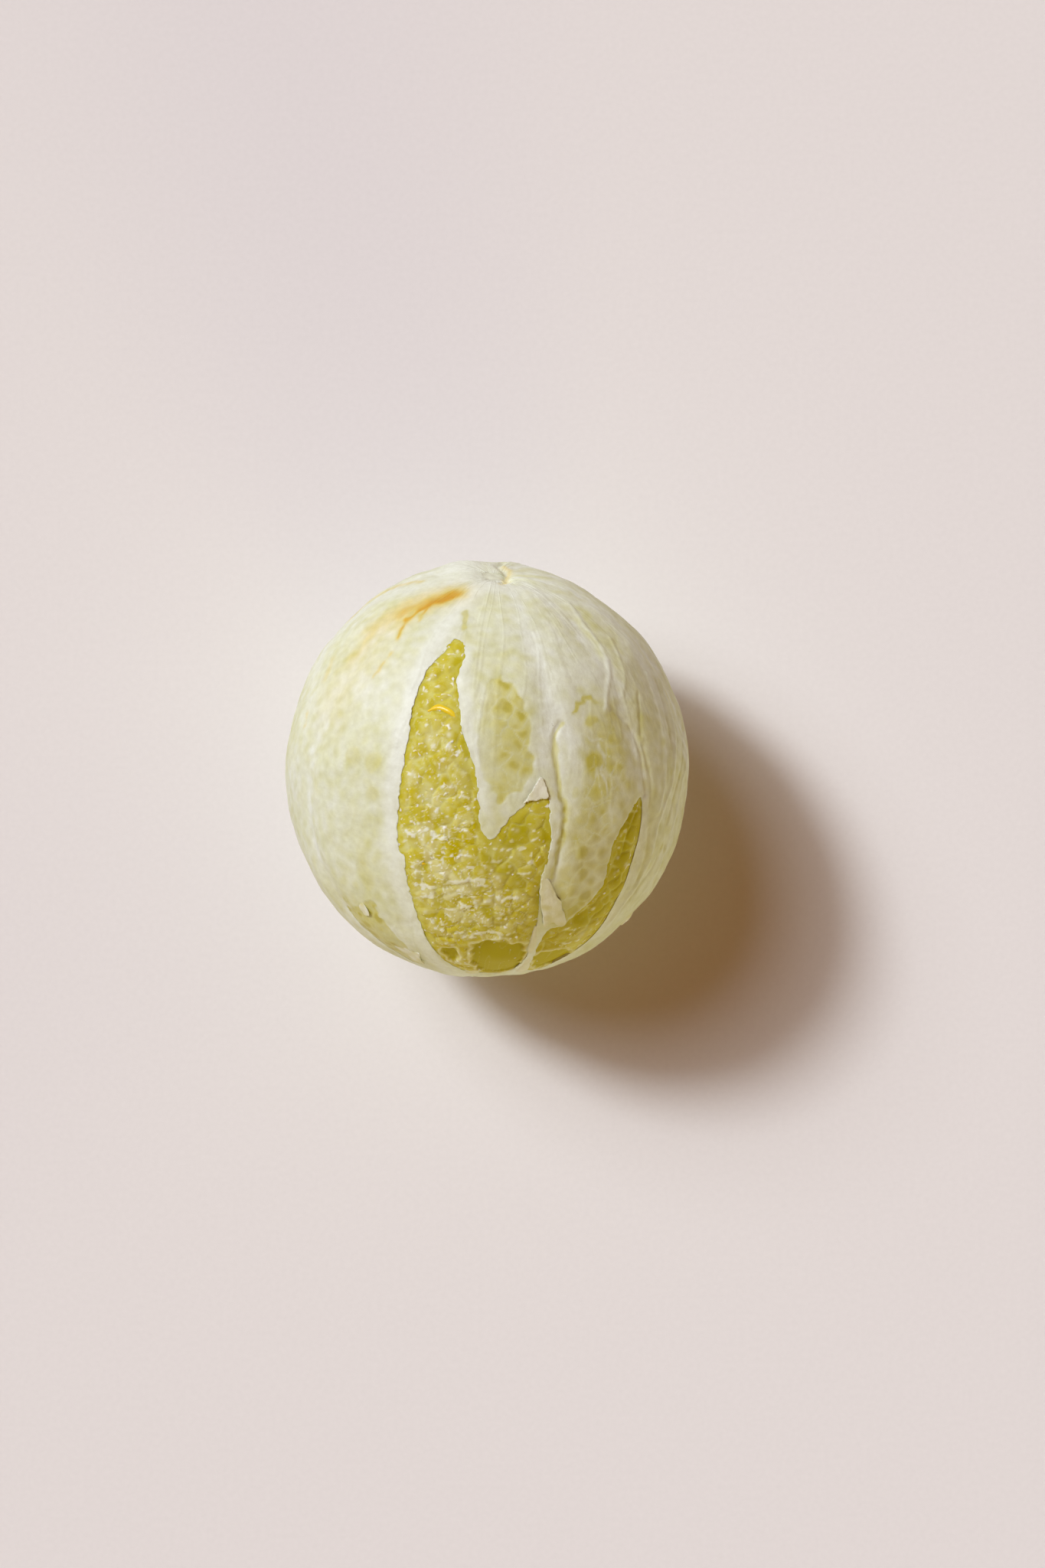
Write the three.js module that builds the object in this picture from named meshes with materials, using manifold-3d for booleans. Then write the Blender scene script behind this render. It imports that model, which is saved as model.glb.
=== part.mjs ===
// A small peeled citrus fruit lying on its side: ten juice segments that meet along one axis and
// still hold together as a ball. Its stem end points towards +Y and a little upwards.
// Millimetres, +Z up. The origin is the middle of the bottom of the box round the whole fruit.

import * as THREE from 'three';
import { mergeVertices } from 'three/addons/utils/BufferGeometryUtils.js';
import Module from 'manifold-3d';

const wasm = await Module();
wasm.setup();

// The whole fruit.
const WIDTH = 50; // across the widest part of the ball, square to its axis
const LENGTH = 52.3; // along the axis, before the ends dip in
const STEM_RISE = 20.5; // degrees that the stem end points up from the surface
const STEM_TURN = 2.5; // degrees that it is turned from +Y towards +X
const FLAT_WIDTH = 14; // across the spot that its own weight has pressed flat

// Where one segment ends and the next begins: degrees round the axis, counted from the line that
// lies on top towards +X.
const SEAMS = [-59, -26, 21, 50, 86, 120, 151, 182, 221, 260, 301];
const OPEN_SEGMENTS = [2, 3]; // these have lost part of their skin, so their juice sacs show

// The core isn't quite straight, so the segments meet at the blossom end a little off the axis.
const CORE_BEND = 12; // degrees
const CORE_BENDS_TOWARDS = 18; // degrees round the axis
const CORE_BEND_SPAN = [70, 120]; // it happens between these angles from the stem end

// The skin between two segments dips a little, and both ends of the axis dip more.
const SEAM_GAP = 0.3;
const SEAM_DIP = 0.35;
const SEAM_DIP_REACH = 1.6;
const STEM_DIP = 1.1;
const BLOSSOM_DIP = 0.7;
const END_DIP_REACH = 3.6;
const END_HOLE = 1.3; // radius of the opening left at each end, where the core strand dries out

// How finely a segment is divided: from end to end, and from seam to seam.
const ROWS = 30;
const COLUMNS = 10;

const RADIUS = WIDTH / 2;
const HALF_LENGTH = LENGTH / 2;
const END_ANGLE = Math.asin(END_HOLE / RADIUS);
const { degToRad } = THREE.MathUtils;

const MEMBRANE = { color: 0xe0ddc2, roughness: 0.5, metalness: 0 };
const JUICE_SACS = { color: 0xb5b044, roughness: 0.3, metalness: 0 };

// A smooth dip, 1 at its middle and nothing past about twice its reach.
function dip(distance, reach) {
  return Math.exp(-((distance / reach) ** 2));
}

// How deep the skin lies below the ball's plain surface. fromStem is the angle from the stem end,
// and fromSeam the angle round the axis to the nearest seam.
function skinDepth(fromStem, fromSeam) {
  const fromAxis = RADIUS * Math.sin(fromStem);
  const seam = SEAM_DIP * Math.sin(fromStem) * dip(fromAxis * fromSeam, SEAM_DIP_REACH);
  const end = (fromStem < Math.PI / 2 ? STEM_DIP : BLOSSOM_DIP) * dip(fromAxis, END_DIP_REACH);
  return seam + end;
}

// Turns a point about the fruit's centre as the core bends at that angle from the stem end.
function bend(point, fromStem) {
  const towards = degToRad(CORE_BENDS_TOWARDS);
  const hinge = new THREE.Vector3(Math.sin(towards), -Math.cos(towards), 0);
  const [start, end] = CORE_BEND_SPAN.map(degToRad);
  const share = THREE.MathUtils.smoothstep(fromStem, start, end);
  return point.applyAxisAngle(hinge, degToRad(CORE_BEND) * share);
}

// A point of the skin: fromStem is its angle from the stem end, around its angle round the axis.
function skinPoint(fromStem, around, fromSeam) {
  const point = new THREE.Vector3(
    Math.sin(fromStem) * Math.cos(around),
    Math.sin(fromStem) * Math.sin(around),
    Math.cos(fromStem),
  );
  bend(point, fromStem);
  const ball = 1 / Math.hypot(point.x / RADIUS, point.y / RADIUS, point.z / HALF_LENGTH);
  return point.multiplyScalar(ball - skinDepth(fromStem, fromSeam));
}

// One segment, upright: its axis is +Z with the stem end up, and 0 degrees is +X. Each row is a
// closed loop: a point on the inner edge, then the curved outer skin from one seam to the next.
function segmentGeometry(firstSeam, nextSeam) {
  const middle = (firstSeam + nextSeam) / 2;
  const half = (nextSeam - firstSeam) / 2;
  const edgeRadius = SEAM_GAP / 2 / Math.sin(half);
  const edgeEnd = HALF_LENGTH - STEM_DIP;
  const points = [];
  const indices = [];

  for (let row = 0; row <= ROWS; row++) {
    const height = THREE.MathUtils.lerp(edgeEnd, -edgeEnd, row / ROWS);
    const edge = new THREE.Vector3(
      edgeRadius * Math.cos(middle),
      edgeRadius * Math.sin(middle),
      height,
    );
    points.push(bend(edge, height > 0 ? 0 : Math.PI));

    const fromStem = THREE.MathUtils.lerp(END_ANGLE, Math.PI - END_ANGLE, row / ROWS);
    const inset = Math.asin(SEAM_GAP / 2 / (RADIUS * Math.sin(fromStem)));
    for (let column = 0; column <= COLUMNS; column++) {
      const turn = THREE.MathUtils.lerp(inset - half, half - inset, column / COLUMNS);
      points.push(skinPoint(fromStem, middle + turn, half - Math.abs(turn)));
    }
  }

  const loop = COLUMNS + 2;
  for (let row = 0; row < ROWS; row++) {
    for (let i = 0; i < loop; i++) {
      const next = (i + 1) % loop;
      const [a, b] = [row * loop + i, row * loop + next];
      const [c, d] = [a + loop, b + loop];
      indices.push(a, c, b, b, c, d);
    }
  }
  const last = ROWS * loop;
  for (let i = 1; i < loop - 1; i++) {
    indices.push(0, i, i + 1);
    indices.push(last, last + i + 1, last + i);
  }

  const geometry = new THREE.BufferGeometry().setFromPoints(points);
  geometry.setIndex(indices);
  return geometry;
}

// Lays the upright fruit on its side, with the 0 degree line on top.
function lieDown() {
  const rise = degToRad(STEM_RISE);
  const turn = degToRad(STEM_TURN);
  const stem = new THREE.Vector3(
    Math.cos(rise) * Math.sin(turn),
    Math.cos(rise) * Math.cos(turn),
    Math.sin(rise),
  );
  const right = new THREE.Vector3(stem.y, -stem.x, 0).normalize();
  const top = new THREE.Vector3().crossVectors(right, stem);
  return new THREE.Matrix4().makeBasis(top, right, stem);
}

function toSolid(geometry) {
  const merged = mergeVertices(geometry);
  return new wasm.Manifold(new wasm.Mesh({
    numProp: 3,
    vertProperties: merged.attributes.position.array,
    triVerts: new Uint32Array(merged.index.array),
  }));
}

function toGeometry(solid) {
  const { vertProperties, triVerts } = solid.getMesh();
  const geometry = new THREE.BufferGeometry();
  geometry.setAttribute('position', new THREE.BufferAttribute(vertProperties, 3));
  geometry.setIndex(new THREE.BufferAttribute(triVerts, 1));
  geometry.computeVertexNormals();
  return geometry;
}

// Everything below the surface that the fruit rests on.
function belowGround() {
  const block = new THREE.BoxGeometry(2 * WIDTH, 2 * WIDTH, WIDTH);
  block.translate(0, 0, -WIDTH / 2);
  block.deleteAttribute('normal');
  block.deleteAttribute('uv');
  return toSolid(block);
}

// Puts the middle of the segments' box over the origin, sunk in until the flat spot is as wide
// as it should be.
function settle(geometries) {
  const box = new THREE.Box3();
  for (const geometry of geometries) {
    geometry.computeBoundingBox();
    box.union(geometry.boundingBox);
  }
  const middle = box.getCenter(new THREE.Vector3());
  const pressed = RADIUS - Math.sqrt(RADIUS ** 2 - (FLAT_WIDTH / 2) ** 2);
  for (const geometry of geometries) {
    geometry.translate(-middle.x, -middle.y, -box.min.z - pressed);
  }
}

const geometries = [];
for (let i = 0; i < SEAMS.length - 1; i++) {
  const geometry = segmentGeometry(degToRad(SEAMS[i]), degToRad(SEAMS[i + 1]));
  geometry.applyMatrix4(lieDown());
  geometries.push(geometry);
}
settle(geometries);

const fruit = new THREE.Group();
const ground = belowGround();
geometries.forEach((geometry, i) => {
  const number = i + 1;
  const pressed = toGeometry(toSolid(geometry).subtract(ground));
  const skin = OPEN_SEGMENTS.includes(number) ? JUICE_SACS : MEMBRANE;
  const segment = new THREE.Mesh(pressed, new THREE.MeshStandardMaterial(skin));
  segment.name = `segment_${String(number).padStart(2, '0')}`;
  fruit.add(segment);
});

export default fruit;
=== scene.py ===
"""A peeled mandarin lying on its side: the looks of its skin, pith and torn flesh."""

import math

import bpy
import numpy as np
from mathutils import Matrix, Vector, kdtree


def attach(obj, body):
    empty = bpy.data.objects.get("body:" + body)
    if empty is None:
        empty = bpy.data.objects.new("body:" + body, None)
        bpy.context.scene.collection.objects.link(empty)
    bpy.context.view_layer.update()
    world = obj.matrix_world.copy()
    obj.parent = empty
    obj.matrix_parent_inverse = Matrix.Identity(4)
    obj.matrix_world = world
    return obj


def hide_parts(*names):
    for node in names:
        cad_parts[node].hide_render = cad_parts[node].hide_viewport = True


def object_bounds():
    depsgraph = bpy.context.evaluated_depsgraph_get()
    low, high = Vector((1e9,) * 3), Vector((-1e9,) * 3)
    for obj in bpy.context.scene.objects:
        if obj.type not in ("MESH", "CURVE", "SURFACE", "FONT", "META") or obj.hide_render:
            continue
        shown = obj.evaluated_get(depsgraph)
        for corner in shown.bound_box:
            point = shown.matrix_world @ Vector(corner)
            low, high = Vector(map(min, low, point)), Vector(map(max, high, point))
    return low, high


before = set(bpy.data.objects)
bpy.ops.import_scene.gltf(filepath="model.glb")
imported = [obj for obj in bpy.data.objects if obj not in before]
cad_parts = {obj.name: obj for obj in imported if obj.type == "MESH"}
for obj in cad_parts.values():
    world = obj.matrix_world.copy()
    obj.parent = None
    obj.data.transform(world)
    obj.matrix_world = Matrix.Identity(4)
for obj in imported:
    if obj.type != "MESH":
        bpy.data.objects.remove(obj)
CAD_LOW, CAD_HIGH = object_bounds()

bl_info = {
    "name": "Peeled mandarin",
    "version": (1, 0, 0),
    "blender": (4, 5, 0),
    "location": "3D View > Sidebar > Mandarin",
    "description": "Makes a peeled mandarin with its segments, pith, torn skin and juice sacs",
    "category": "Add Mesh",
}

# ---------------------------------------------------------------------------------------------
# The fruit as a whole. Sizes are millimetres, and angles degrees, unless a line says otherwise.
# A place on the fruit is a latitude, counted from its widest ring towards the stem end, and a
# longitude, counted round the axis from the line that lies on top towards +X.
# ---------------------------------------------------------------------------------------------

MM = 0.001

# How it lies, and where the segments meet, as in the CAD source.
STEM_RISE = 20.5
STEM_TURN = 2.5
SEAMS = (-59, -26, 21, 50, 86, 120, 151, 182, 221, 260, 301)
CORE_BEND = 12
CORE_BENDS_TOWARDS = 18
CORE_BEND_SPAN = (20, -30)
SEAM_DIP = 0.35
SEAM_DIP_REACH = 1.6
STEM_DIP = 1.1
BLOSSOM_DIP = 0.7
END_DIP_REACH = 3.6
SKIN_ENDS = 86.5  # each segment's skin stops this far north and south, at the core
GROUND = 0.03  # nothing lies lower than this, so that no piece goes through the floor

# How finely the meshes are divided, from point to point.
FINE_STEP = 0.2
COARSE_STEP = 0.3
TORN_STEP = 0.18  # of the open flesh and of the flaps
FINE_SEGMENTS = (1, 2, 3, 4)

# The torn skin and the flesh below it reach past the segment's own seams, in degrees, and the
# skin's sides are tucked under their neighbours.
SKIN_OVERLAP = 0.6
FLESH_OVERLAP = 0.5
SIDE_TUCK = 0.02

SHARP_EDGE = 50  # faces that meet at more than this aren't shaded as one smooth surface
CAP_RADIUS = 2.6  # of the plugs of pith that close the core at its ends
CAP_DEPTH = 3.0  # how far down they reach

# The juice sacs' rounded ends lie like a honeycomb, shaken up by this share of their width, and
# each is larger or smaller than the middling one within these limits.
SAC_AREA = 0.87  # over its width squared
SAC_DISORDER = 0.24
SAC_SIZES = (0.7, 1.35)


def lying_axes():
    """The upright fruit's three axes as the fruit lies, as the columns of a matrix."""
    rise, turn = math.radians(STEM_RISE), math.radians(STEM_TURN)
    along = math.cos(rise)
    stem = np.array([along * math.sin(turn), along * math.cos(turn), math.sin(rise)])
    right = np.array([stem[1], -stem[0], 0.0]) / along
    return np.stack([np.cross(right, stem), right, stem], axis=1)


LYING = lying_axes()
SIZE = (np.array(CAD_HIGH) - np.array(CAD_LOW)) / MM
RADIUS = SIZE[0] / 2
RISE = math.radians(STEM_RISE)
HALF_LENGTH = math.sqrt((SIZE[1] / 2) ** 2 - (RADIUS * math.sin(RISE)) ** 2) / math.cos(RISE)
TOP = math.hypot(RADIUS * math.cos(RISE), HALF_LENGTH * math.sin(RISE))
CENTRE = np.array([0, 0, CAD_HIGH[2] / MM - TOP])


def out_from(lat, lon):
    """Unit directions from the fruit's centre to places."""
    lat, lon = np.radians(lat), np.radians(lon)
    level = np.cos(lat)
    return np.stack([level * np.cos(lon), level * np.sin(lon), np.sin(lat) + 0 * lon], axis=-1)


def on_ball(lat, lon, lift=0.0):
    """Points that far above the plain ball at those places, in the upright fruit's axes."""
    out = out_from(lat, lon)
    scaled = out / [RADIUS, RADIUS, HALF_LENGTH]
    return out * (1 / np.linalg.norm(scaled, axis=-1) + lift)[..., None]


def in_frame(points):
    """Upright points as the fruit lies, in metres, and never through the ground."""
    placed = points @ LYING.T + CENTRE
    placed[:, 2] = np.maximum(placed[:, 2], GROUND)
    return placed * MM


def bent(lat, lon):
    """Where the places of a straight-cored fruit go once its core bends at the blossom end."""
    out = out_from(lat, lon)
    start, end = CORE_BEND_SPAN
    turn = math.radians(CORE_BEND) * smoothstep((start - lat) / (start - end))[..., None]
    towards = math.radians(CORE_BENDS_TOWARDS)
    hinge = np.array([math.sin(towards), -math.cos(towards), 0])
    along = (out @ hinge)[..., None] * hinge
    out = along + (out - along) * np.cos(turn) + np.cross(hinge, out) * np.sin(turn)
    lat = np.degrees(np.arcsin(np.clip(out[..., 2], -1, 1)))
    return lat, np.degrees(np.arctan2(out[..., 1], out[..., 0]))


# ---------------------------------------------------------------------------------------------
# What the eye sees on it. A line or outline is a list of (latitude, longitude) places.
# ---------------------------------------------------------------------------------------------

# The outlines of the places where the skin is torn away, for each torn segment.
TEARS = {
    2: [(57, -17), (53, -20.5), (48, -24), (43, -25.5), (34, -25), (25, -24), (11, -24),
        (-2, -23.5), (-6, -21.5), (-12, -21), (-18, -20.5), (-29, -18.5), (-37, -17), (-44, -14),
        (-51, -10), (-55.5, -3), (-57, 6), (-54.5, 14), (-50, 17), (-41, 18.5), (-31, 18.5),
        (-22, 18), (-12, 17), (-6, 18), (0, 19), (8, 18.5), (13.5, 18), (13, 14), (10.5, 11),
        (8, 8), (5, 5.5), (1.5, 3), (3.5, 0), (6.5, -1), (10, -1), (17, -2), (24, -4), (30, -7),
        (36, -9), (41, -10.5), (44, -12), (48, -11.5), (54, -11.5)],
    3: [(8, 49.5), (5, 45), (1, 41), (-4, 38.7), (-12, 38.3), (-18, 37), (-22, 34), (-26, 30),
        (-29, 27), (-31, 22.5), (-40, 21), (-51, 23), (-58, 28), (-60, 38), (-54, 45),
        (-43, 44), (-37, 45.5), (-30, 47), (-22, 48.7), (-12, 48.8), (-2, 50.2), (5, 50.5)],
}

# Where a segment's skin is worn so thin that the flesh shows through it.
WORN_THIN = {
    1: [(-24, -35), (-30, -33), (-36, -30), (-41, -27.5), (-46, -25), (-52, -25), (-60, -40),
        (-58, -59), (-44, -59), (-36, -55), (-31, -47), (-27, -39)],
    2: [(43, -1), (46, 3.3), (45, 8.2), (41, 11.2), (36, 13.8), (31, 14.1), (26.7, 13),
        (22.3, 14.4), (19, 13.6), (15.7, 10.9), (14, 7.5), (11, 4.5), (15.7, 2), (19, -0.4),
        (24, -1.8), (31, -2.4), (37.7, -2.3)],
}
# One of them is only half as worn up to this longitude, and fully worn this much further round.
HALF_WORN_SEGMENT = 2
HALF_WORN_UP_TO = -3
HALF_WORN_FADES = 8

# The strands of pith that cross the open flesh, and the stalks of two lost sacs: how clear they
# are, the seed of their bumps, and their route as (latitude, longitude, width, height).
PITH_STRANDS = (
    ("pith_strand_left", 0.35, 65, [
        (-29.5, -6, 0.8, -0.5), (-33, -5.3, 1.5, -0.1), (-40, -5, 1.6, -0.05),
        (-48, -5, 1.6, -0.1), (-57, -3, 2.0, -0.1)]),
    ("pith_strand_right", 0.15, 67, [
        (-28.5, 18.2, 0.5, -0.3), (-33, 18.6, 1.1, 0.0), (-40, 19, 1.4, 0.0),
        (-48, 20, 1.5, 0.0), (-56, 22, 1.8, -0.1)]),
)
STALKS = (
    ("stalk_yellow", 0.0, 69, [
        (34.8, -19.8, 0.4, 0.0), (36.0, -17.5, 0.9, 0.1), (36.2, -15, 1.1, 0.14),
        (35.4, -12, 1.0, 0.12), (33.8, -9.4, 0.7, 0.02)]),
    ("stalk_end", 0.0, 71, [
        (-7.4, -17.4, 0.3, 0.0), (-7.2, -16.2, 0.8, 0.2), (-7.5, -15, 0.3, 0.0)]),
)

# Torn ends of skin that stand off the fruit: the height of the side that holds them, how far the
# other side rises from there, how clear they are, their thickness and the seed of their bumps,
# then the outline and the part of it that holds them.
FLAPS = (
    ("flap_small", -0.02, 0.15, 0.0, 0.06, 71,
     [(18.5, 16), (16.5, 14.5), (14.5, 13), (11.5, 11), (12.5, 14.5), (13, 18), (15.5, 17.8)],
     [(12.5, 12), (13, 18)]),
    ("flap_leaf", 0.0, 0.1, 0.15, 0.06, 74,
     [(-9.5, 17.5), (-13, 17.2), (-18, 17.7), (-23, 19), (-28, 20.8), (-27, 22.7), (-28.5, 26.5),
      (-27.3, 27.7), (-23, 26), (-18.5, 23.5), (-15, 21.3), (-12, 19.7)],
     [(-10, 18), (-18, 18), (-23, 19.5)]),
    ("curl_1", -0.15, 0.35, 0.2, 0.08, 90,
     [(-41, -32), (-44.5, -27), (-44, -22.5), (-48, -24.5), (-52, -24), (-50, -30), (-46, -34)],
     [(-41, -32), (-46, -34)]),
    ("curl_2", -0.15, 0.35, 0.2, 0.08, 94,
     [(-24, -42), (-27, -38.5), (-30, -37.5), (-31, -40), (-28, -44)],
     [(-24, -42), (-28, -44)]),
    ("curl_3", -0.15, 0.35, 0.2, 0.08, 98,
     [(-35, 63), (-37, 68), (-40.5, 71), (-41.5, 67), (-39, 62)],
     [(-35, 63), (-39, 62)]),
)

# Lines on the skin: the white rib along the first seam, the torn edge beside the open flesh, a
# vein, two folds, the groove and the soft band along the second seam, creases and long ridges.
SEAM_RIB = [(80, -8), (73, -20), (66, -23), (58.5, -24.5), (52.5, -26.5), (45, -27.5), (37, -27.5),
            (29, -27), (22, -26.5), (14.5, -26), (6, -26), (-1, -25), (-9, -24), (-18, -22.5),
            (-25, -21), (-33.5, -19), (-42, -17.5), (-52, -15), (-61, -12)]
TORN_EDGE_OF_2 = [(54, -10), (44, -10.5), (37, -7.5), (30, -5), (24, -2.5), (17, -0.5), (10, 1)]
VEIN = [(43, -1), (38, -2), (32.5, -2.5), (27, -2.5), (23, -2)]
FOLD = [(66.5, 63), (60, 58), (53, 55.5), (46.5, 53), (42, 49), (38, 44.5), (34, 41.5)]
SMALL_FOLD = [(52, 65), (46, 60), (40.5, 56.5), (36.5, 52)]
GROOVE = [(32.5, 24), (30, 22), (26, 21), (18, 21.5), (13.5, 22), (11, 23), (7, 23.2), (3.5, 22.7),
          (0, 22), (-4.5, 21.5), (-8, 21), (-11.5, 20.5)]
BAND = [(13, 19.8), (7.5, 20), (1, 20), (-5, 19.2), (-10, 18.5)]
CREASES = (
    [(21.5, 54), (16, 54), (10, 54), (4.5, 53)],
    [(25.5, 96), (18.5, 93.5), (14, 85)],
    [(-5.5, 63), (-14.5, 66), (-25, 67.5)],
    [(35, 59.5), (30, 56.5), (24.5, 54.5)],
    [(35, 77), (25.5, 72), (17.5, 69)],
    [(-2.5, 53), (-10.5, 53.5), (-18.5, 53)],
    [(34, 44.5), (28.5, 50.4), (21.5, 52), (14.5, 51.6), (8, 51.3)],
    [(19.5, 85.7), (14, 79), (8, 73.5), (3.5, 68), (-4, 63.5)],
    [(-9.5, 62.5), (-16.5, 60), (-23.5, 54), (-28.5, 51)],
)
RIDGES = (
    [(36, 82), (26.5, 76.5), (20.5, 74), (15, 69.7), (8.5, 66), (3.5, 61.7), (-1.5, 57.5),
     (-8.7, 56), (-16.7, 55), (-24.5, 51.5), (-34, 48.5)],
    [(38, 72), (30.5, 69), (23.5, 66.5), (15.5, 63), (7.5, 60), (2, 57)],
    [(12, 84), (4, 75), (-6, 69), (-16, 65.5), (-26, 60)],
)

# Strokes: how strong or how high, how far they reach to each side, and the places they pass.
# Where the surface stands up, or lies lower where the height is less than nothing.
RAISED = (
    (0.6, 2.4, [(78, -132), (83, -105)]),
    (-0.3, 2.4, [(79, 150)]),
    (-0.4, 0.5, [(74, 172), (82, 170), (87, 90), (83, 20)]),
    *((0.13, 0.35, ridge) for ridge in RIDGES),
    (0.12, 0.8, BAND),
    (0.12, 0.35, FOLD),
    (0.08, 0.3, SMALL_FOLD),
    (0.05, 0.18, VEIN),
    (-0.2, 0.35, GROOVE),
    (0.06, 0.9, [(21, 32.5)]),
    (0.06, 0.7, [(32, 34.5)]),
    *((-0.13, 0.28, crease) for crease in CREASES),
)
# Where white pith is left on the skin.
WHITE = (
    (0.9, 2.0, [(80, -136), (86, -40), (80, -8)]),
    (0.9, 2.4, [(75, -150), (79, -110)]),
    (0.7, 1.6, [(77, -76), (71, -77)]),
    (0.75, 1.8, [(66, -77), (58, -93), (48, -92), (39, -88), (32, -83)]),
    (0.9, 1.3, SEAM_RIB),
    (0.7, 1.3, [(78, 12), (77, 42), (70.5, 62), (64, 75), (56, 79), (49, 77), (43, 74), (28, 73)]),
    (0.7, 2.2, [(45, 24), (47, 35), (44, 44)]),
    (0.7, 0.9, [(31, 25), (27.5, 27), (22, 26)]),
    (0.7, 0.8, [(41, 21.5), (35, 21), (28, 18.5), (23, 17.5)]),
    (0.6, 0.6, [(24, 22), (17, 22.5)]),
    (0.8, 0.2, [(25, 35), (21.5, 36.2), (18, 35.5)]),
    (0.7, 0.18, [(17, 35), (14, 36.8), (11, 35.5), (10, 32)]),
    (0.6, 0.18, [(29, 30), (27, 34), (26, 38)]),
    (0.5, 0.2, [(9, 37), (4, 37.5), (0, 36)]),
    *((0.55, 0.35, ridge) for ridge in RIDGES),
    (0.6, 1.0, [(33, 24), (28, 26), (20, 26.5), (12, 26)]),
    (0.7, 0.8, TORN_EDGE_OF_2),
    (0.6, 0.25, VEIN),
    (0.5, 0.9, [(30, 1), (24, 2), (19, 4)]),
    (0.4, 0.7, [(16, 9), (17, 12)]),
    (0.6, 0.4, FOLD),
    (0.5, 0.5, [(8, 51.5), (-2, 52), (-12, 51), (-22, 51), (-30, 49.5), (-38, 48)]),
)
# Small clear spots with a firm edge, and painted shade along the groove.
SPOTS = (
    # The groove: painted shade beside the ridge.
    (0.75, 0.3, GROOVE),
    (0.95, 1.1, [(21, 32.5)]),
    (0.85, 0.8, [(32, 34.5)]),
    (0.9, 0.35, [(35, 29), (36.5, 31.5), (37, 33.5)]),
    (0.9, 0.4, [(38.5, 34), (38, 37)]),
    (0.7, 0.5, [(36.5, 38)]),
    (0.6, 1.1, [(12, 33.5)]),
    (0.5, 0.6, [(13.5, 26.5)]),
    (0.5, 0.8, [(6, 28)]),
    (0.5, 1.2, [(18, -34)]),
    (0.48, 1.1, [(18, -41)]),
    (0.48, 1.0, [(10, -32.5)]),
    (0.22, 1.1, [(4, -39)]),
    (0.22, 1.0, [(12, -39)]),
    (0.22, 1.0, [(1, -32)]),
    (0.3, 0.9, [(-6, -34.5), (-10, -35.5)]),
    (0.35, 1.0, [(-13, -35), (-18, -34.5)]),
    (0.22, 1.0, [(24, -40)]),
    (0.18, 1.2, [(30, -46)]),
    (0.18, 1.0, [(-1, -47)]),
    (0.7, 0.4, [(67, -18), (63.5, -16), (61, -15)]),
    (0.4, 0.6, [(24, 44), (20, 45)]),
    (0.45, 0.8, [(-4, 28)]),
    (0.5, 0.9, [(-11, 30)]),
    (0.7, 0.9, [(-22, 31), (-25, 27)]),
    (0.6, 0.6, [(-27, 24)]),
    (0.5, 0.8, [(-17, 26)]),
    (0.8, 1.0, [(-24, 30), (-25, 26)]),
    (0.6, 0.8, [(-19, 33)]),
)
# Where the skin is clear enough to show the flesh, and where shade is painted into the creases and
# the groove.
CLEAR = (
    (0.9, 5.0, [(25, 40), (8, 36), (-10, 31)]),
    (0.6, 3.5, [(0, 31), (-8, 29), (-18, 27)]),
    # The creases: painted shade in them.
    *((0.7, 0.28, crease) for crease in CREASES),
    (0.3, 6.0, [(50, 70), (30, 62), (10, 60), (-10, 58)]),
    (0.3, 6.0, [(40, 90), (10, 85), (-20, 80)]),
    (0.95, 3.0, [(-26, 25), (-23, 32), (-13, 36)]),
    (0.4, 3.0, [(0, 29), (-8, 30)]),
    (0.6, 1.0, [(5, 44), (0, 39), (-8, 36.5), (-16, 35.5), (-22, 31), (-27, 27)]),
    # The groove again, darker: painted shade beside the ridge.
    (1.0, 0.45, GROOVE),
    (0.8, 0.9, BAND),
    (0.6, 3.0, [(-38, -42), (-50, -42)]),
    (0.45, 1.0, [(11, 2), (6, 4.5)]),
    (0.4, 1.3, [(43, 4), (39, 8.5), (33, 11), (26, 12)]),
    (0.6, 0.5, [(71, 74), (67, 79), (64, 82)]),
    (0.5, 3.5, [(-32, -48), (-42, -48)]),
    (0.4, 0.9, [(45, 57), (41, 50)]),
    (0.3, 0.7, [(56, 85)]),
    (0.35, 2.5, [(30, 85), (10, 88), (-10, 85)]),
    (0.35, 1.8, [(78, 130), (82, 110)]),
)
# Where peel oil has stained the skin.
STAINED = (
    (0.5, 0.4, [(80, 170), (87, 90), (83, 20), (80, 14)]),
    (0.4, 0.5, [(-78, 18)]),
    (0.8, 0.38, [(71, -37.5), (68, -44), (64, -47), (60, -48), (57, -48), (53, -45.5)]),
    (0.75, 1.1, [(73, -37), (69, -43.5), (65, -46)]),
    (0.6, 2.2, [(73, -40), (67, -52), (60, -56)]),
    (0.3, 2.0, [(60, -58), (52, -64)]),
    (0.7, 0.2, [(66, -44), (62, -43), (59, -41)]),
    (0.5, 0.25, [(48, -43.5), (44, -44.5), (40, -45)]),
    (0.25, 1.0, [(52, -64), (46, -61.5), (42, -62)]),
    (0.3, 0.6, [(37, -73), (33, -70)]),
    (0.5, 0.5, [(70, -87), (64, -100), (57, -106), (50, -108), (44, -104)]),
    (0.4, 0.3, [(22, -71), (19, -68)]),
    (0.15, 4.0, [(45, -55), (30, -58)]),
)

# Where the walls of the sacs below show through the skin as a pale net.
NETTED = (
    (0.7, 5.0, [(15, 34), (0, 34), (-20, 28)]),
    (0.3, 4.0, [(35, 6), (20, 7)]),
)

# Outlines of the hollows in the flesh where juice sacs have come out, and how deep they are.
HOLLOWS = (
    [(-36.5, -2), (-34, 2), (-33, 7), (-34, 11.5), (-36, 16), (-42.5, 17), (-50, 17),
     (-54, 13), (-55.5, 7), (-53, 1), (-45.5, -1.5)],
    [(-40, -13), (-38.5, -10), (-40, -7.5), (-44.5, -8), (-44.5, -11)],
    [(-43, 22), (-41, 28), (-43, 36), (-49, 42), (-55, 42), (-57, 33), (-51, 25)],
)
HOLLOW_DEPTH = 0.2

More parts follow.
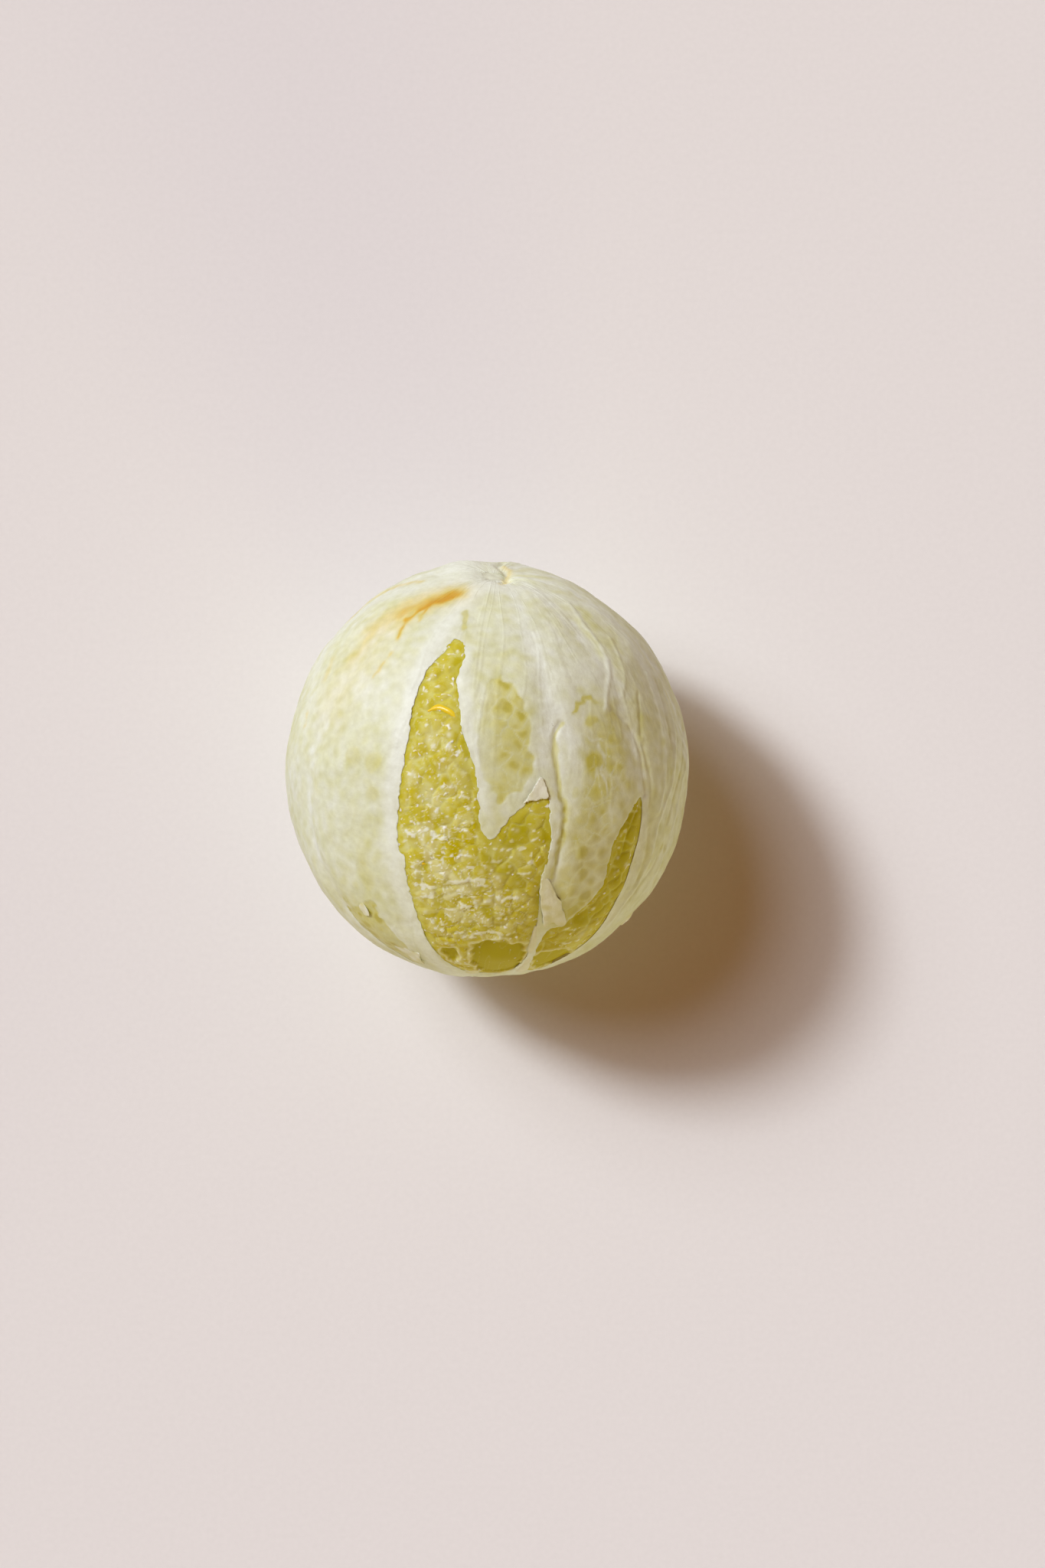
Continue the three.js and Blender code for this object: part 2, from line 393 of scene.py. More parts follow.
# White flakes of torn sac wall on the flesh.
FLAKES = (
    (1.0, 0.6, [(-11.8, -8), (-11.2, -4), (-10.6, -1), (-11.4, 1)]),
    (1.0, 0.6, [(-13.8, -16.5), (-15, -14), (-18, -14)]),
    (0.9, 0.4, [(-26.8, -14.3), (-27.2, -10)]),
    (0.75, 0.45, [(-31.5, -7), (-30.2, -3.6), (-30.6, 0), (-29.8, 3.6), (-30.5, 7.3), (-29.6, 11)]),
    (0.75, 0.3, [(-2.3, 6.9), (-0.8, 8.9), (-0.9, 11.5), (-2.6, 13.2), (-5, 13.6)]),
    (0.6, 0.8, [(-20, -4), (-19.5, 1)]),
    (0.6, 0.7, [(-16.5, 5), (-17, 8)]),
    (0.7, 0.35, [(0, -20), (2, -15), (0, -11)]),
    (0.6, 0.35, [(-3, -6), (-6, -1), (-5, 4)]),
    (0.5, 0.4, [(-22, 6), (-25, 10)]),
    (0.5, 0.5, [(-8, -19), (-10, -15)]),
)
# Where the flesh lies deeper, and is painted darker and clearer: partly its own deeper colour,
# partly painted shade.
DEEP = (
    (0.9, 1.7, [(4.5, 11), (1.5, 8.5)]),
    (0.6, 0.7, [(6, 17), (0, 17.5)]),
    (0.8, 1.5, [(-4, 3), (-7.5, 7.5), (-11, 11)]),
    (0.6, 0.8, [(51, -12.5), (46.5, -12.5)]),
    (0.4, 0.9, [(40, -24), (33, -23), (26.5, -22)]),
    (0.5, 0.6, [(28, -7), (21, -4.5), (14, -4)]),
    (0.6, 0.9, [(-24, -14.5)]),
    (0.5, 0.8, [(-30, -3.5)]),
    (0.4, 0.8, [(-29.5, 14)]),
    (0.6, 1.0, [(-33, -17)]),
    (0.9, 1.6, [(3, 46), (-3, 44), (-10, 43)]),
    (0.6, 1.6, [(-16, 43), (-24, 41), (-29, 36)]),
    (0.7, 0.7, [(-36, 30)]),
    (0.8, 0.9, [(-28, 34)]),
)
# Where the flesh is milky.
MILKY = (
    (0.6, 1.1, [(27, -17)]),
    (0.5, 0.8, [(32.5, -11)]),
    (0.4, 0.8, [(16, -21)]),
    (0.4, 0.7, [(19.5, -5)]),
    (0.4, 1.3, [(11, -14.5)]),
    (0.5, 1.2, [(-0.5, -17)]),
    (0.6, 0.8, [(4.5, 14)]),
    (0.5, 1.1, [(-0.5, 6.5)]),
    (0.5, 1.2, [(-4.5, 10.5)]),
    (0.5, 1.6, [(-12, -5), (-18, -15)]),
    (0.7, 1.4, [(-34, 37)]),
)
# Where the sacs' own walls are torn.
TORN_FLESH = (
    (1.0, 5.0, [(-5, -14), (-14, -8), (-22, -6)]),
    (0.7, 4.0, [(-20, 6), (-28, 0)]),
    (0.4, 5.0, [(20, -14), (8, -10)]),
)
DARKER_FLESH = {2: 0.0, 3: 0.25}  # how much darker each torn segment's flesh is painted all over: partly deeper flesh, partly painted shade on the segment on the shaded side

# Heights of the open flesh: how far it lies below the skin, how much further it goes down where
# skin covers it, how high a sac's middle stands above its walls, and how deep a deep place is.
FLESH_BELOW = 0.12
COVERED_BELOW = 0.5
SAC_DOME = 0.18
DEEP_BELOW = 0.12
# Heights on the skin: the sacs' domes under it, its fine lengthwise crinkles, how far it sinks
# where it is worn thin, and the rib along the first seam.
SKIN_DOME = 0.03
CRINKLE = 0.04
WORN_BELOW = 0.05
RIB_HEIGHT, RIB_REACH = 0.25, 1.4


# ---------------------------------------------------------------------------------------------
# Lines and patterns
# ---------------------------------------------------------------------------------------------


def settings():
    """The sizes and colours that a user may have changed."""
    return bpy.context.scene.peeled_mandarin


def smoothstep(value):
    """A smooth rise from 0 to 1, as the value goes from 0 to 1."""
    value = np.clip(value, 0, 1)
    return value * value * (3 - 2 * value)


def ripples(points, size, seed):
    """Soft random hills about that many millimetres across, from about -1 to 1.

    Each pattern on the fruit has a seed of its own, so that no two patterns lie alike.
    """
    waves = 28
    rng = np.random.default_rng(seed)
    way = rng.normal(size=(waves, 3))
    way *= (2 * np.pi / size * rng.uniform(0.6, 1.3, waves) / np.linalg.norm(way, axis=1))[:, None]
    phase = rng.uniform(0, 2 * np.pi, waves)
    total = np.zeros(len(points))
    for turn, start in zip(way, phase):
        total += np.cos(points @ turn + start)
    return total * math.sqrt(2 / waves) / 1.6


def threads(lat, lon, size, seed, stretch, amount, shake_seed):
    """Ridges that run lengthwise, from 0 between them to 1 on each crest."""
    flat = np.stack([np.radians(lon) * RADIUS, np.radians(lat) * RADIUS / stretch, 0 * lat], axis=1)
    return 1 - np.abs(ripples(shaken(flat, 3, amount, shake_seed), size, seed))


def shaken(points, size, amount, seed):
    """Points moved about a little, so that what is drawn at them gets an uneven edge."""
    return points + amount * np.stack([ripples(points, size, seed + i) for i in range(3)], axis=1)


def smooth_line(places, closed=False, steps=5):
    """A smooth curve through the places, with that many steps from each to the next."""
    places = np.array(places, float)
    if closed:
        places = np.concatenate([places[-1:], places, places[:2]])
    else:
        before, after = 2 * places[:1] - places[1:2], 2 * places[-1:] - places[-2:-1]
        places = np.concatenate([before, places, after])
    curve = []
    for a, b, c, d in zip(places, places[1:], places[2:], places[3:]):
        for t in np.arange(steps) / steps:
            bow = (2 * a - 5 * b + 4 * c - d) * t**2 + (3 * b - a - 3 * c + d) * t**3
            curve.append(b + 0.5 * ((c - a) * t + bow))
    if not closed:
        curve.append(places[-2])
    return np.array(curve)


def distance_to(points, line):
    """How far each point is from a line of points, in millimetres."""
    nearest = np.full(len(points), np.inf)
    for a, b in zip(line, line[1:]):
        along = b - a
        share = np.clip((points - a) @ along / max(along @ along, 1e-9), 0, 1)
        nearest = np.minimum(nearest, np.linalg.norm(points - a - share[:, None] * along, axis=1))
    return nearest


def inside(lat, lon, outline):
    """Which places lie inside a closed outline."""
    found = np.zeros(len(lat), bool)
    for (lat_a, lon_a), (lat_b, lon_b) in zip(outline, np.roll(outline, -1, axis=0)):
        between = (lat_a > lat) != (lat_b > lat)
        crossing = lon_a + (lat - lat_a) * (lon_b - lon_a) / (lat_b - lat_a or 1e-9)
        found ^= between & (lon < crossing)
    return found


def past_edge(lat, lon, places):
    """Millimetres outside the outline through those places, and less than nothing inside it."""
    outline = smooth_line(places, closed=True)
    edge = on_ball(*np.concatenate([outline, outline[:1]]).T)
    distance = distance_to(on_ball(lat, lon), edge)
    return np.where(inside(lat, lon, outline), -distance, distance)


def stroke(points, reach, places):
    """1 along a line of places, fading to nothing about twice that many millimetres away."""
    places = places if len(places) > 1 else places * 2
    line = on_ball(*smooth_line(places, steps=4).T)
    middle = line.mean(axis=0)
    extent = np.linalg.norm(line - middle, axis=1).max() + 2.5 * reach
    near = np.linalg.norm(points - middle, axis=1) < extent
    share = np.zeros(len(points))
    share[near] = np.exp(-((distance_to(points[near], line) / reach) ** 2))
    return share


def painted(points, strokes, start=0.0, firm=False):
    """The strokes laid over each other, and over what was there at the start."""
    bare = 1 - np.clip(start, 0, 1) * np.ones(len(points))
    for strength, reach, places in strokes:
        share = stroke(points, reach, places)
        bare *= 1 - strength * (smoothstep(1.7 * share) if firm else share)
    return 1 - bare


# ---------------------------------------------------------------------------------------------
# Meshes
# ---------------------------------------------------------------------------------------------


def make_piece(name, points, faces, paints, material, stands_for=()):
    """A smooth mesh piece from upright points, with its painted values and its material."""
    mesh = bpy.data.meshes.new(name)
    mesh.from_pydata(in_frame(points).tolist(), [], faces)
    for paint, values in paints.items():
        layer = mesh.attributes.new(paint, "FLOAT", "POINT")
        layer.data.foreach_set("value", np.clip(values, 0, 1).astype(np.float32))
    mesh.shade_smooth()
    mesh.set_sharp_from_angle(angle=math.radians(SHARP_EDGE))
    mesh.materials.append(material)
    piece = bpy.data.objects.new(name, mesh)
    bpy.context.scene.collection.objects.link(piece)
    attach(piece, "root")
    if stands_for:
        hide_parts(*stands_for)
    return piece


def thicken(piece, thickness):
    """Gives a sheet its thickness, inwards from its outer face."""
    shell = piece.modifiers.new("thickness", "SOLIDIFY")
    shell.thickness = thickness
    shell.offset = -1


def grid_faces(rows, columns):
    """The squares of a grid of points, facing outwards where rows go up and columns go right."""
    first = (np.arange(rows - 1)[:, None] * columns + np.arange(columns - 1)).ravel()
    return np.stack([first, first + 1, first + columns + 1, first + columns], axis=1).tolist()


def cut_sheet(values, faces, keep):
    """Trims a sheet to where keep is positive, with its edge exactly where keep is 0."""
    values, trimmed, cuts = list(values), [], {}

    def cut(a, b):
        key = (min(a, b), max(a, b))
        if key not in cuts:
            share = keep[a] / (keep[a] - keep[b])
            cuts[key] = len(values)
            values.append(values[a] * (1 - share) + values[b] * share)
        return cuts[key]

    for face in faces:
        kept = [keep[i] > 0 for i in face]
        if all(kept):
            trimmed.append(face)
        elif any(kept):
            ring = []
            for a, b in zip(face, face[1:] + face[:1]):
                if keep[a] > 0:
                    ring.append(a)
                if (keep[a] > 0) != (keep[b] > 0):
                    ring.append(cut(a, b))
            trimmed.append(ring)
    values = np.array(values)
    used = sorted({i for face in trimmed for i in face})
    renumbered = {old: new for new, old in enumerate(used)}
    return values[used], [[renumbered[i] for i in face] for face in trimmed]


# ---------------------------------------------------------------------------------------------
# Juice sacs
# ---------------------------------------------------------------------------------------------


class Sacs:
    """The rounded outer ends of the juice sacs, packed side by side under the skin."""

    def __init__(self):
        rng = np.random.default_rng(5)
        width = settings().sac_width / MM
        count = int(4 * math.pi * RADIUS**2 / (width**2 * SAC_AREA))
        index = np.arange(count) + 0.5
        lat = np.degrees(np.arcsin(1 - 2 * index / count))
        lon = np.degrees(index * math.pi * (1 + math.sqrt(5)))
        self.middles = on_ball(lat, lon) + rng.normal(0, SAC_DISORDER * width, (count, 3))
        self.sizes = rng.uniform(*SAC_SIZES, count)
        self.moods = rng.uniform(-1, 1, (count, 5))
        self.tree = kdtree.KDTree(count)
        for i, middle in enumerate(self.middles):
            self.tree.insert(middle, i)
        self.tree.balance()

    def around(self, points):
        """For each point: how near its sac's wall it is, from 0 to 1, and which sac that is."""
        share = np.zeros(len(points))
        owner = np.zeros(len(points), int)
        for i, point in enumerate(shaken(points, 2.4, 0.25, 21)):
            near = sorted((d / self.sizes[k], k) for _, k, d in self.tree.find_n(point, 4))
            share[i] = near[0][0] / near[1][0]
            owner[i] = near[0][1]
        return share, owner


def flesh(number, lat, lon, sacs):
    """Lift and paint of the open flesh: rounded sacs, each a little higher, lower or paler."""
    points = on_ball(lat, lon)
    share, owner = sacs.around(points)
    moods = sacs.moods[owner]
    uneven = shaken(points, 1.6, 0.3, 51)
    edge = past_edge(lat, lon, TEARS[number])

    # Where the hollows and their lips are, where the walls are torn, and where it lies deep.
    messy = painted(points, TORN_FLESH, 0.1)
    deep = painted(uneven, DEEP)
    milky = painted(uneven, MILKY)
    hollow, lip = np.zeros(len(lat)), np.zeros(len(lat))
    for outline in HOLLOWS:
        rim = past_edge(lat, lon, outline) + 0.3 * ripples(points, 1.6, 58)
        hollow = np.maximum(hollow, smoothstep(0.3 - rim / 0.6))
        lip = np.maximum(lip, np.exp(-(((rim - 0.3) / 0.25) ** 2)))
    crest = 1 - np.abs(ripples(uneven, 2.6, 52))
    crest = np.maximum(crest, 1 - np.abs(ripples(uneven, 1.9, 53)))
    torn = messy * smoothstep((crest - 0.94) / 0.06)
    torn += 0.35 * messy * smoothstep(ripples(uneven, 2.4, 59) / 0.3)
    flakes = painted(uneven, FLAKES) + 0.5 * ripples(points, 0.8, 60)
    torn += 0.9 * smoothstep((flakes - 0.45) / 0.25)
    deep = np.maximum(deep, 0.6 * messy * smoothstep(ripples(uneven, 3.1, 61) - 0.2))

    # The surface goes down under the skin, and meets it closely at the tear and at the seams.
    lift = ball_relief(number, lat, points) - FLESH_BELOW
    lift -= COVERED_BELOW * smoothstep((edge - 0.25) / 1.2)
    lift += 0.03 * np.exp(-((edge / 0.6) ** 2))
    lift += 0.03 * np.exp(-((seam_distance(number, points) / 0.5) ** 2))
    from_middle = points - sacs.middles[owner]
    tilt = np.sum(from_middle * moods[:, 2:5], axis=1)
    rough = smoothstep(-edge / 1.2) * (1 - hollow)
    lift += rough * (SAC_DOME * (1 - share**2.5) + 0.05 * moods[:, 0] + 0.04 * tilt)
    lift += rough * (0.06 * messy * ripples(points, 2.2, 54) + 0.06 * torn + 0.06 * lip)
    lift -= DEEP_BELOW * deep + HOLLOW_DEPTH * hollow

    # Most sacs get a painted highlight, a small pale glint off their middle, and a hollow has fine
    # fibres in place of walls.
    glint = np.linalg.norm(from_middle - 0.5 * moods[:, 2:5], axis=1)
    glint = np.exp(-((glint / 0.3) ** 2)) * (moods[:, 0] > -0.3)
    white = torn + 0.6 * milky * (0.6 + 0.4 * ripples(points, 1.0, 55)) + 0.8 * glint
    wall = 0.6 * smoothstep((share - 0.8) / 0.15) * (0.55 + 0.5 * ripples(points, 3, 56))
    fibres = threads(lat, lon, 2.6, 62, stretch=4, amount=0.6, shake_seed=63)
    fibres = 0.3 * smoothstep((fibres - 0.92) / 0.08)
    paints = {
        "wall": np.where(hollow > 0.5, fibres, wall),
        "mood": 0.5 + 0.4 * moods[:, 1] + 0.25 * ripples(points, 1.6, 57),
        # The hollows take the deep colour in full: painted shade in them.
        "deep": np.maximum(deep + DARKER_FLESH[number], hollow),
        # The torn paint holds torn walls, milky flecks and lips, and also the painted highlights of
        # the glints.
        "torn": np.maximum(rough * white * (1 - 0.7 * deep), 0.5 * lip),
    }
    return lift, paints


# ---------------------------------------------------------------------------------------------
# Skin
# ---------------------------------------------------------------------------------------------


def segment_grid(number, step, overlap=0.0):
    """Places in rows and columns over one segment's outer face, which may overlap the next ones."""
    first, last = SEAMS[number - 1] - overlap, SEAMS[number] + overlap
    rows = round(math.radians(2 * SKIN_ENDS) * RADIUS / step)
    columns = round(math.radians(last - first) * RADIUS / step)
    lat, lon = np.meshgrid(
        np.linspace(-SKIN_ENDS, SKIN_ENDS, rows), np.linspace(first, last, columns), indexing="ij"
    )
    lat, lon = bent(lat, lon)
    return lat.ravel(), lon.ravel(), rows, columns


def seam_line(number):
    """The seam at the end of that segment, as points from the blossom end to the stem end."""
    lat = np.linspace(-SKIN_ENDS, SKIN_ENDS, 40)
    return on_ball(*bent(lat, np.full(40, float(SEAMS[number]))))


BLOSSOM_END = on_ball(*bent(np.array([-90.0]), np.array([0.0])))[0]
STEM_END = on_ball(np.array([90.0]), np.array([0.0]))[0]


def end_dips(points):
    """How deep the hollows at the stem end and the blossom end are."""
    stem = np.linalg.norm(points - STEM_END, axis=1) / END_DIP_REACH
    blossom = np.linalg.norm(points - BLOSSOM_END, axis=1) / END_DIP_REACH
    return STEM_DIP * np.exp(-(stem**2)) + BLOSSOM_DIP * np.exp(-(blossom**2))


def seam_distance(number, points):
    """Millimetres from each point to the nearer of a segment's two seams."""
    sides = seam_line(number - 1), seam_line(number)
    return np.minimum(*(distance_to(points, side) for side in sides))


def lumps(points):
    """How far the fruit's lumps and wrinkles stand above the plain ball."""
    lift = 0.16 * ripples(points, 11, 1) + 0.06 * ripples(points, 4, 2)
    lift += RIB_HEIGHT * stroke(points, RIB_REACH, SEAM_RIB)
    for height, reach, places in RAISED:
        lift += height * stroke(points, reach, places)
    return lift - end_dips(points)


def ball_relief(number, lat, points):
    """How far a segment stands above the plain ball, whether there is skin on it or not."""
    seam = np.exp(-((seam_distance(number, points) / SEAM_DIP_REACH) ** 2))
    return lumps(points) - SEAM_DIP * np.cos(np.radians(lat)) * seam


def skin(number, lat, lon, sacs):
    """Lift and paint of a segment's skin."""
    points = on_ball(lat, lon)
    from_seam = seam_distance(number, points)
    share, _ = sacs.around(points)
    dome = 1 - share**2
    uneven = shaken(points, 1.8, 0.22, 41)
    worn = np.zeros(len(lat))
    if number in WORN_THIN:
        rim = past_edge(lat, lon, WORN_THIN[number]) + 0.25 * ripples(points, 1.5, 48)
        worn = smoothstep(0.5 - rim / 0.4)
    if number == HALF_WORN_SEGMENT:
        worn *= 0.5 + 0.5 * smoothstep((lon - HALF_WORN_UP_TO) / HALF_WORN_FADES)

    # White pith hides the flesh, clear film shows it, and thin walls show as a pale net.
    white = 0.4 + 0.15 * ripples(points, 8, 11) + 0.18 * ripples(points, 1.7, 13)
    white = painted(uneven, WHITE, white + 0.45 * np.exp(-((from_seam / 1.1) ** 2)))
    clear = 0.1 + 0.1 * ripples(points, 6, 12) + 0.1 * ripples(points, 2.2, 14)
    # The clear paint also holds the painted shade of the creases and the groove.
    clear = painted(uneven, CLEAR, clear)
    through = 0.75 + 0.12 * ripples(points, 4, 15) + 0.2 * ripples(points, 1.5, 16)
    clear = np.maximum(clear, worn * through) + 0.3 * worn * painted(uneven, CLEAR)
    clear *= (1 - 0.8 * painted(uneven, WHITE)) * (0.6 + 0.45 * dome)
    spots = painted(uneven, SPOTS, firm=True)
    clear = np.maximum(clear, 0.9 * spots)
    white = white * (1 - 0.8 * worn) * (1 - spots)
    net = smoothstep((share - 0.86) / 0.1) * painted(points, NETTED) * (1 - 0.7 * spots)
    white, clear = np.maximum(white, 0.7 * net), clear * (1 - 0.6 * net)

    # The film follows the sacs below it, crinkles lengthwise, and lies down along a tear.
    lift = ball_relief(number, lat, points) + SKIN_DOME * dome - WORN_BELOW * worn
    crinkle = threads(lat, lon, 3.2, 4, stretch=5, amount=0.5, shake_seed=44)
    lift += CRINKLE * smoothstep((crinkle - 0.75) / 0.25)
    if number in TEARS:
        edge = past_edge(lat, lon, TEARS[number])
        lowered = np.exp(-((edge / 0.6) ** 2)) * smoothstep(from_seam / 1.2)
        lift += lowered * (0.04 * ripples(points, 2.5, 45) - 0.08)
        white = 1 - (1 - white) * (1 - 0.4 * np.exp(-((edge / 0.3) ** 2)))
    return lift, {"white": white, "clear": clear, "stain": painted(uneven, STAINED)}


def close_wedge(points, faces, rows, columns):
    """Adds the inner edge and the flat sides that turn a segment's outer face into a wedge."""
    grid = np.arange(rows * columns).reshape(rows, columns)
    middle = points.reshape(rows, columns, 3)[rows // 2].mean(axis=0)
    inwards = middle * np.array([1, 1, 0]) / np.linalg.norm(middle[:2])
    top, bottom = points[grid[-1]].mean(axis=0), points[grid[0]].mean(axis=0)
    share = np.linspace(-0.98, 0.98, rows)[:, None]
    edge = np.where(share > 0, top * share, -bottom * share) + 0.4 * inwards
    inner = rows * columns + np.arange(rows)
    sides = []
    for row in range(rows - 1):
        sides.append([grid[row, 0], grid[row + 1, 0], inner[row + 1], inner[row]])
        sides.append([grid[row + 1, -1], grid[row, -1], inner[row], inner[row + 1]])
    for column in range(columns - 1):
        sides.append([inner[0], grid[0, column + 1], grid[0, column]])
        sides.append([inner[-1], grid[-1, column], grid[-1, column + 1]])
    return np.concatenate([points, edge]), faces + [[int(i) for i in side] for side in sides]


def for_wedge(paints, rows):
    """A wedge's paint, with nothing along its inner edge."""
    return {paint: np.concatenate([values, np.zeros(rows)]) for paint, values in paints.items()}


def end_cap(name, pole, material):
    """The small plug of pith that closes the core at one end of the fruit."""
    rings, turns = 16, 48
    away = np.degrees(np.linspace(0, CAP_RADIUS / RADIUS, rings + 1)[1:])
    around = np.arange(turns) * 360 / turns
    lat, lon = np.meshgrid(pole - math.copysign(1, pole) * away, around, indexing="ij")
    lat, lon = bent(np.append(lat, pole), np.append(lon, 0.0))
    points = on_ball(lat, lon)
    from_pole = np.linalg.norm(points - points[-1], axis=1)
    lift = lumps(points) - 0.02 + 0.05 * ripples(points, 1.2, 81)
    lift += 0.08 * np.exp(-((from_pole / 0.6) ** 2)) - 0.2 * smoothstep((from_pole - 1.8) / 0.6)
    paints = {"white": np.full(len(points), 0.7), "stain": painted(points, STAINED)}
    below = points[-1:] * (1 - CAP_DEPTH / np.linalg.norm(points[-1]))
    middle, bottom = len(points) - 1, len(points)
    last = (rings - 1) * turns
    faces = []
    for i in range(turns):
        j = (i + 1) % turns
        faces.append([middle, i, j])
        for start in range(0, last, turns):
            a, b = start + i, start + j
            faces.append([a, a + turns, b + turns, b])
        faces.append([last + i, bottom, last + j])
    if pole < 0:
        faces = [face[::-1] for face in faces]
    points = np.concatenate([on_ball(lat, lon, lift), below])
    make_piece(name, points, faces, for_wedge(paints, 1), material)


# ---------------------------------------------------------------------------------------------
# Strips and flaps
# ---------------------------------------------------------------------------------------------


def strip(name, clear, seed, route, material):
    """A rounded strip that grows out of the skin, along a route as STALKS gives it."""
    route = smooth_line(route, steps=12)
    lat, lon, width, height = route.T
    middle = on_ball(lat, lon)
    outwards = middle / np.linalg.norm(middle, axis=1)[:, None]
    along = np.gradient(middle, axis=0)
    along /= np.linalg.norm(along, axis=1)[:, None]
    sideways = np.cross(along, outwards)
    turns = np.linspace(0, math.pi, 11)
    across = np.concatenate([-np.cos(turns), [0.7, -0.7]])
    up = np.concatenate([np.sin(turns) ** 0.8, [-0.4, -0.4]])
    ring = len(across)
    aside = 0.5 * width[:, None] * across
    above = up * (height + 0.5)[:, None] - 0.5
    points = middle[:, None] + sideways[:, None] * aside[..., None]
    points = (points + outwards[:, None] * above[..., None]).reshape(-1, 3)
    bumps = 0.02 * ripples(points, 1.4, seed) + 0.06 * ripples(points, 4, seed + 1)
    points = points + bumps[:, None] * np.repeat(outwards, ring, axis=0)
    faces = []
    for row in range(len(route) - 1):
        for i in range(ring):
            a, b = row * ring + i, row * ring + (i + 1) % ring
            faces.append([a, b, b + ring, a + ring])
    last = (len(route) - 1) * ring
    faces.append(list(reversed(range(ring))))
    faces.append([last + i for i in range(ring)])
    paints = {"clear": np.full(len(points), clear)}
    make_piece(name, points, faces, paints, material)


def flap(name, height, rise, clear, thickness, seed, outline, hinge, material):
    """A torn flap of skin, held along its hinge and rising away from it."""
    lows, highs = np.min(outline, axis=0) - 1, np.max(outline, axis=0) + 1
    tall, wide = np.radians(highs - lows) * RADIUS
    wide *= math.cos(math.radians((lows[0] + highs[0]) / 2))
    rows, columns = round(tall / TORN_STEP), round(wide / TORN_STEP)
    lat, lon = np.meshgrid(
        np.linspace(lows[0], highs[0], rows), np.linspace(lows[1], highs[1], columns), indexing="ij"
    )
    lat, lon = lat.ravel(), lon.ravel()
    keep = -past_edge(lat, lon, outline) + 0.1 * ripples(on_ball(lat, lon), 1.2, seed)
    places, faces = cut_sheet(np.stack([lat, lon], axis=1), grid_faces(rows, columns), keep)
    lat, lon = places.T
    points = on_ball(lat, lon)
    out = distance_to(points, on_ball(*np.array(hinge, float).T))
    lift = height + rise * (out / out.max()) ** 1.6 + 0.05 * ripples(points, 1.6, seed + 1)
    paints = {"clear": clear + 0.25 * ripples(points, 1.5, seed + 2)}
    piece = make_piece(name, on_ball(lat, lon, lift), faces, paints, material)
    thicken(piece, thickness * MM)


# ---------------------------------------------------------------------------------------------
# Materials
# ---------------------------------------------------------------------------------------------


def linear(colour):
    """An sRGB hex colour as linear red, green, blue and full alpha."""
    channels = [int(colour[i : i + 2], 16) / 255 for i in (1, 3, 5)]
    return [c / 12.92 if c <= 0.04045 else ((c + 0.055) / 1.055) ** 2.4 for c in channels] + [1.0]


def per_mm(size):
    """The scale that makes a texture's pattern that many millimetres across."""
    return 1 / (size * MM)


def add(tree, kind, inputs=(), out=None, **values):
    """Adds one shader node, sets its values, sets or links its inputs, and gives one output."""
    made = tree.nodes.new(kind)
    for name, value in values.items():
        setattr(made, name, value)
    for name, value in dict(inputs).items():
        socket = next(s for s in made.inputs if s.enabled and s.name == name)
        if isinstance(value, bpy.types.NodeSocket):
            tree.links.new(value, socket)
        else:
            socket.default_value = value
    return next((s for s in made.outputs if s.enabled and out in (None, s.name)), None)


def empty_material(name):
    """A new material and its node tree, with nothing in it yet."""
    material = bpy.data.materials.new(name)
    material.use_nodes = True
    material.node_tree.nodes.clear()
    return material, material.node_tree


def skin_material():
    """Segment skin: a thin, damp film, satin, which greens where the flesh shows through."""
    looks = settings()
    material, tree = empty_material("Segment skin, thin damp film")
    place = add(tree, "ShaderNodeTexCoord", out="Object")
    clear, white, stain = (
        add(tree, "ShaderNodeAttribute", attribute_name=paint, out="Fac")
        for paint in ("clear", "white", "stain")
    )
    clouds = add(tree, "ShaderNodeTexNoise", {"Vector": place, "Scale": per_mm(2.5), "Detail": 3.0})
    clouds = add(tree, "ShaderNodeMapRange", {"Value": clouds, "From Min": 0.3, "From Max": 0.7})
    bare = add(tree, "ShaderNodeMapRange", {"Value": clear, "From Min": 0.78, "To Max": 0.9})
    streak = add(tree, "ShaderNodeMapRange", {"Value": stain, "From Min": 0.6})
    grain = add(tree, "ShaderNodeTexNoise", {"Vector": place, "Scale": per_mm(0.8), "Detail": 4.0})
    grain = {"Value": grain, "From Min": 0.3, "From Max": 0.7, "To Max": 0.18}
    grain = add(tree, "ShaderNodeMapRange", grain)
    colour = looks.skin_thin
    for share, layer in (
        (clouds, looks.skin_dense),
        (clear, looks.skin_clear),
        (bare, looks.flesh_deep),
        (white, looks.skin_white),
        (stain, looks.stain),
        (streak, looks.stain_core),
        (grain, looks.skin_grain),
    ):
        layers = {"Factor": share, "A": colour, "B": layer}
        colour = add(tree, "ShaderNodeMix", layers, data_type="RGBA")
    dents = add(tree, "ShaderNodeTexNoise", {"Vector": place, "Scale": per_mm(0.9), "Detail": 3.0})
    normal = add(tree, "ShaderNodeBump", {"Height": dents, "Strength": 0.6, "Distance": 0.1 * MM})
    # Real fibres are under 0.1 mm thick, too fine to show, so they are drawn coarser.
    fibres = add(tree, "ShaderNodeTexNoise", {"Vector": place, "Scale": per_mm(0.3), "Detail": 1.0})
    relief = {"Height": fibres, "Strength": 0.5, "Distance": 0.03 * MM, "Normal": normal}
    normal = add(tree, "ShaderNodeBump", relief)
    finish = {"Base Color": colour, "Roughness": 0.5, "IOR": 1.4, "Normal": normal}
    surface = add(tree, "ShaderNodeBsdfPrincipled", finish)
    add(tree, "ShaderNodeOutputMaterial", {"Surface": surface})
    return material


